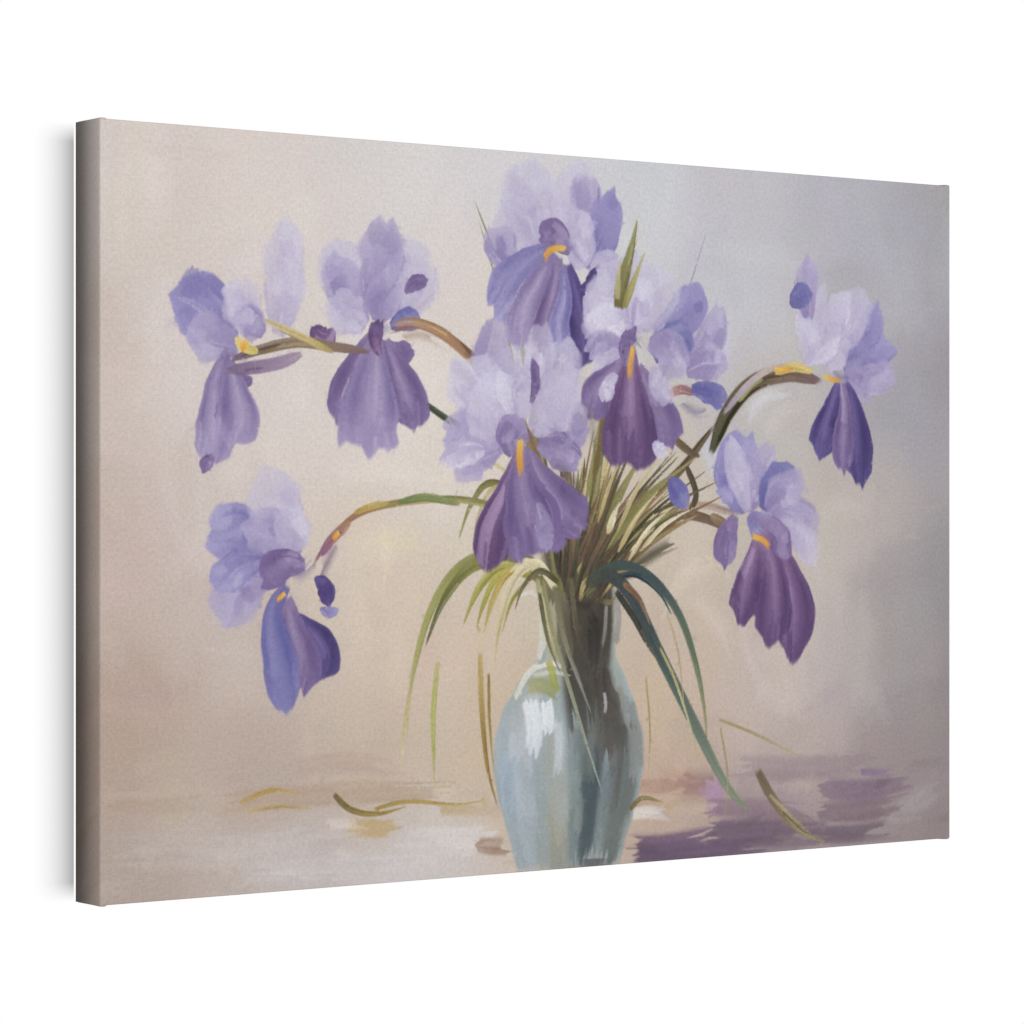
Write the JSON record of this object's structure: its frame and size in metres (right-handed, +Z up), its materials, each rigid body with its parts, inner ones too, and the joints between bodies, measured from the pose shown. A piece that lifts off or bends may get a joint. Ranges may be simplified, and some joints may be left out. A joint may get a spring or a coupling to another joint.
{
  "type": "stretched canvas wall picture",
  "caption": "Landscape canvas print wrapped over a pine stretcher frame, with wedged corners, an upright brace, back staples, wall pads and a sawtooth hanger.",
  "frame": {"origin": "middle notch of the sawtooth hanger, on the plane of the wall that the picture hangs on", "axes": "+X to the right seen from the front, along the picture's length; +Y at the wall; +Z up. The printed front faces -Y"},
  "size_m": [0.9144, 0.0424, 0.6096],
  "materials": {
    "printed_canvas": "matte printed cotton canvas, pale flower still life on warm beige and grey",
    "pine": "planed, unfinished",
    "beech": "planed, unfinished",
    "staple_steel": "galvanised flat wire",
    "zinc_plate": "bright zinc plate",
    "clear_rubber": "satin, slightly cloudy"
  },
  "bodies": {
    "root": {"bottom_key_end": "beech", "bottom_key_start": "beech", "bottom_rail": "pine", "bottom_staple_01": "staple_steel", "bottom_staple_02": "staple_steel", "bottom_staple_03": "staple_steel", "bottom_staple_04": "staple_steel", "bottom_staple_05": "staple_steel", "bottom_staple_06": "staple_steel", "bottom_staple_07": "staple_steel", "bottom_staple_08": "staple_steel", "bottom_staple_09": "staple_steel", "bottom_staple_10": "staple_steel", "bottom_staple_11": "staple_steel", "canvas": "printed_canvas", "cross_brace": "pine", "hanger_screw_left": "zinc_plate", "hanger_screw_right": "zinc_plate", "left_key_end": "beech", "left_key_start": "beech", "left_staple_01": "staple_steel", "left_staple_02": "staple_steel", "left_staple_03": "staple_steel", "left_staple_04": "staple_steel", "left_staple_05": "staple_steel", "left_staple_06": "staple_steel", "left_stile": "pine", "right_key_end": "beech", "right_key_start": "beech", "right_staple_01": "staple_steel", "right_staple_02": "staple_steel", "right_staple_03": "staple_steel", "right_staple_04": "staple_steel", "right_staple_05": "staple_steel", "right_staple_06": "staple_steel", "right_stile": "pine", "sawtooth_hanger": "zinc_plate", "top_key_end": "beech", "top_key_start": "beech", "top_rail": "pine", "top_staple_01": "staple_steel", "top_staple_02": "staple_steel", "top_staple_03": "staple_steel", "top_staple_04": "staple_steel", "top_staple_05": "staple_steel", "top_staple_06": "staple_steel", "top_staple_07": "staple_steel", "top_staple_08": "staple_steel", "top_staple_09": "staple_steel", "top_staple_10": "staple_steel", "wall_pad_left": "clear_rubber", "wall_pad_right": "clear_rubber"}
  },
  "joints": []
}
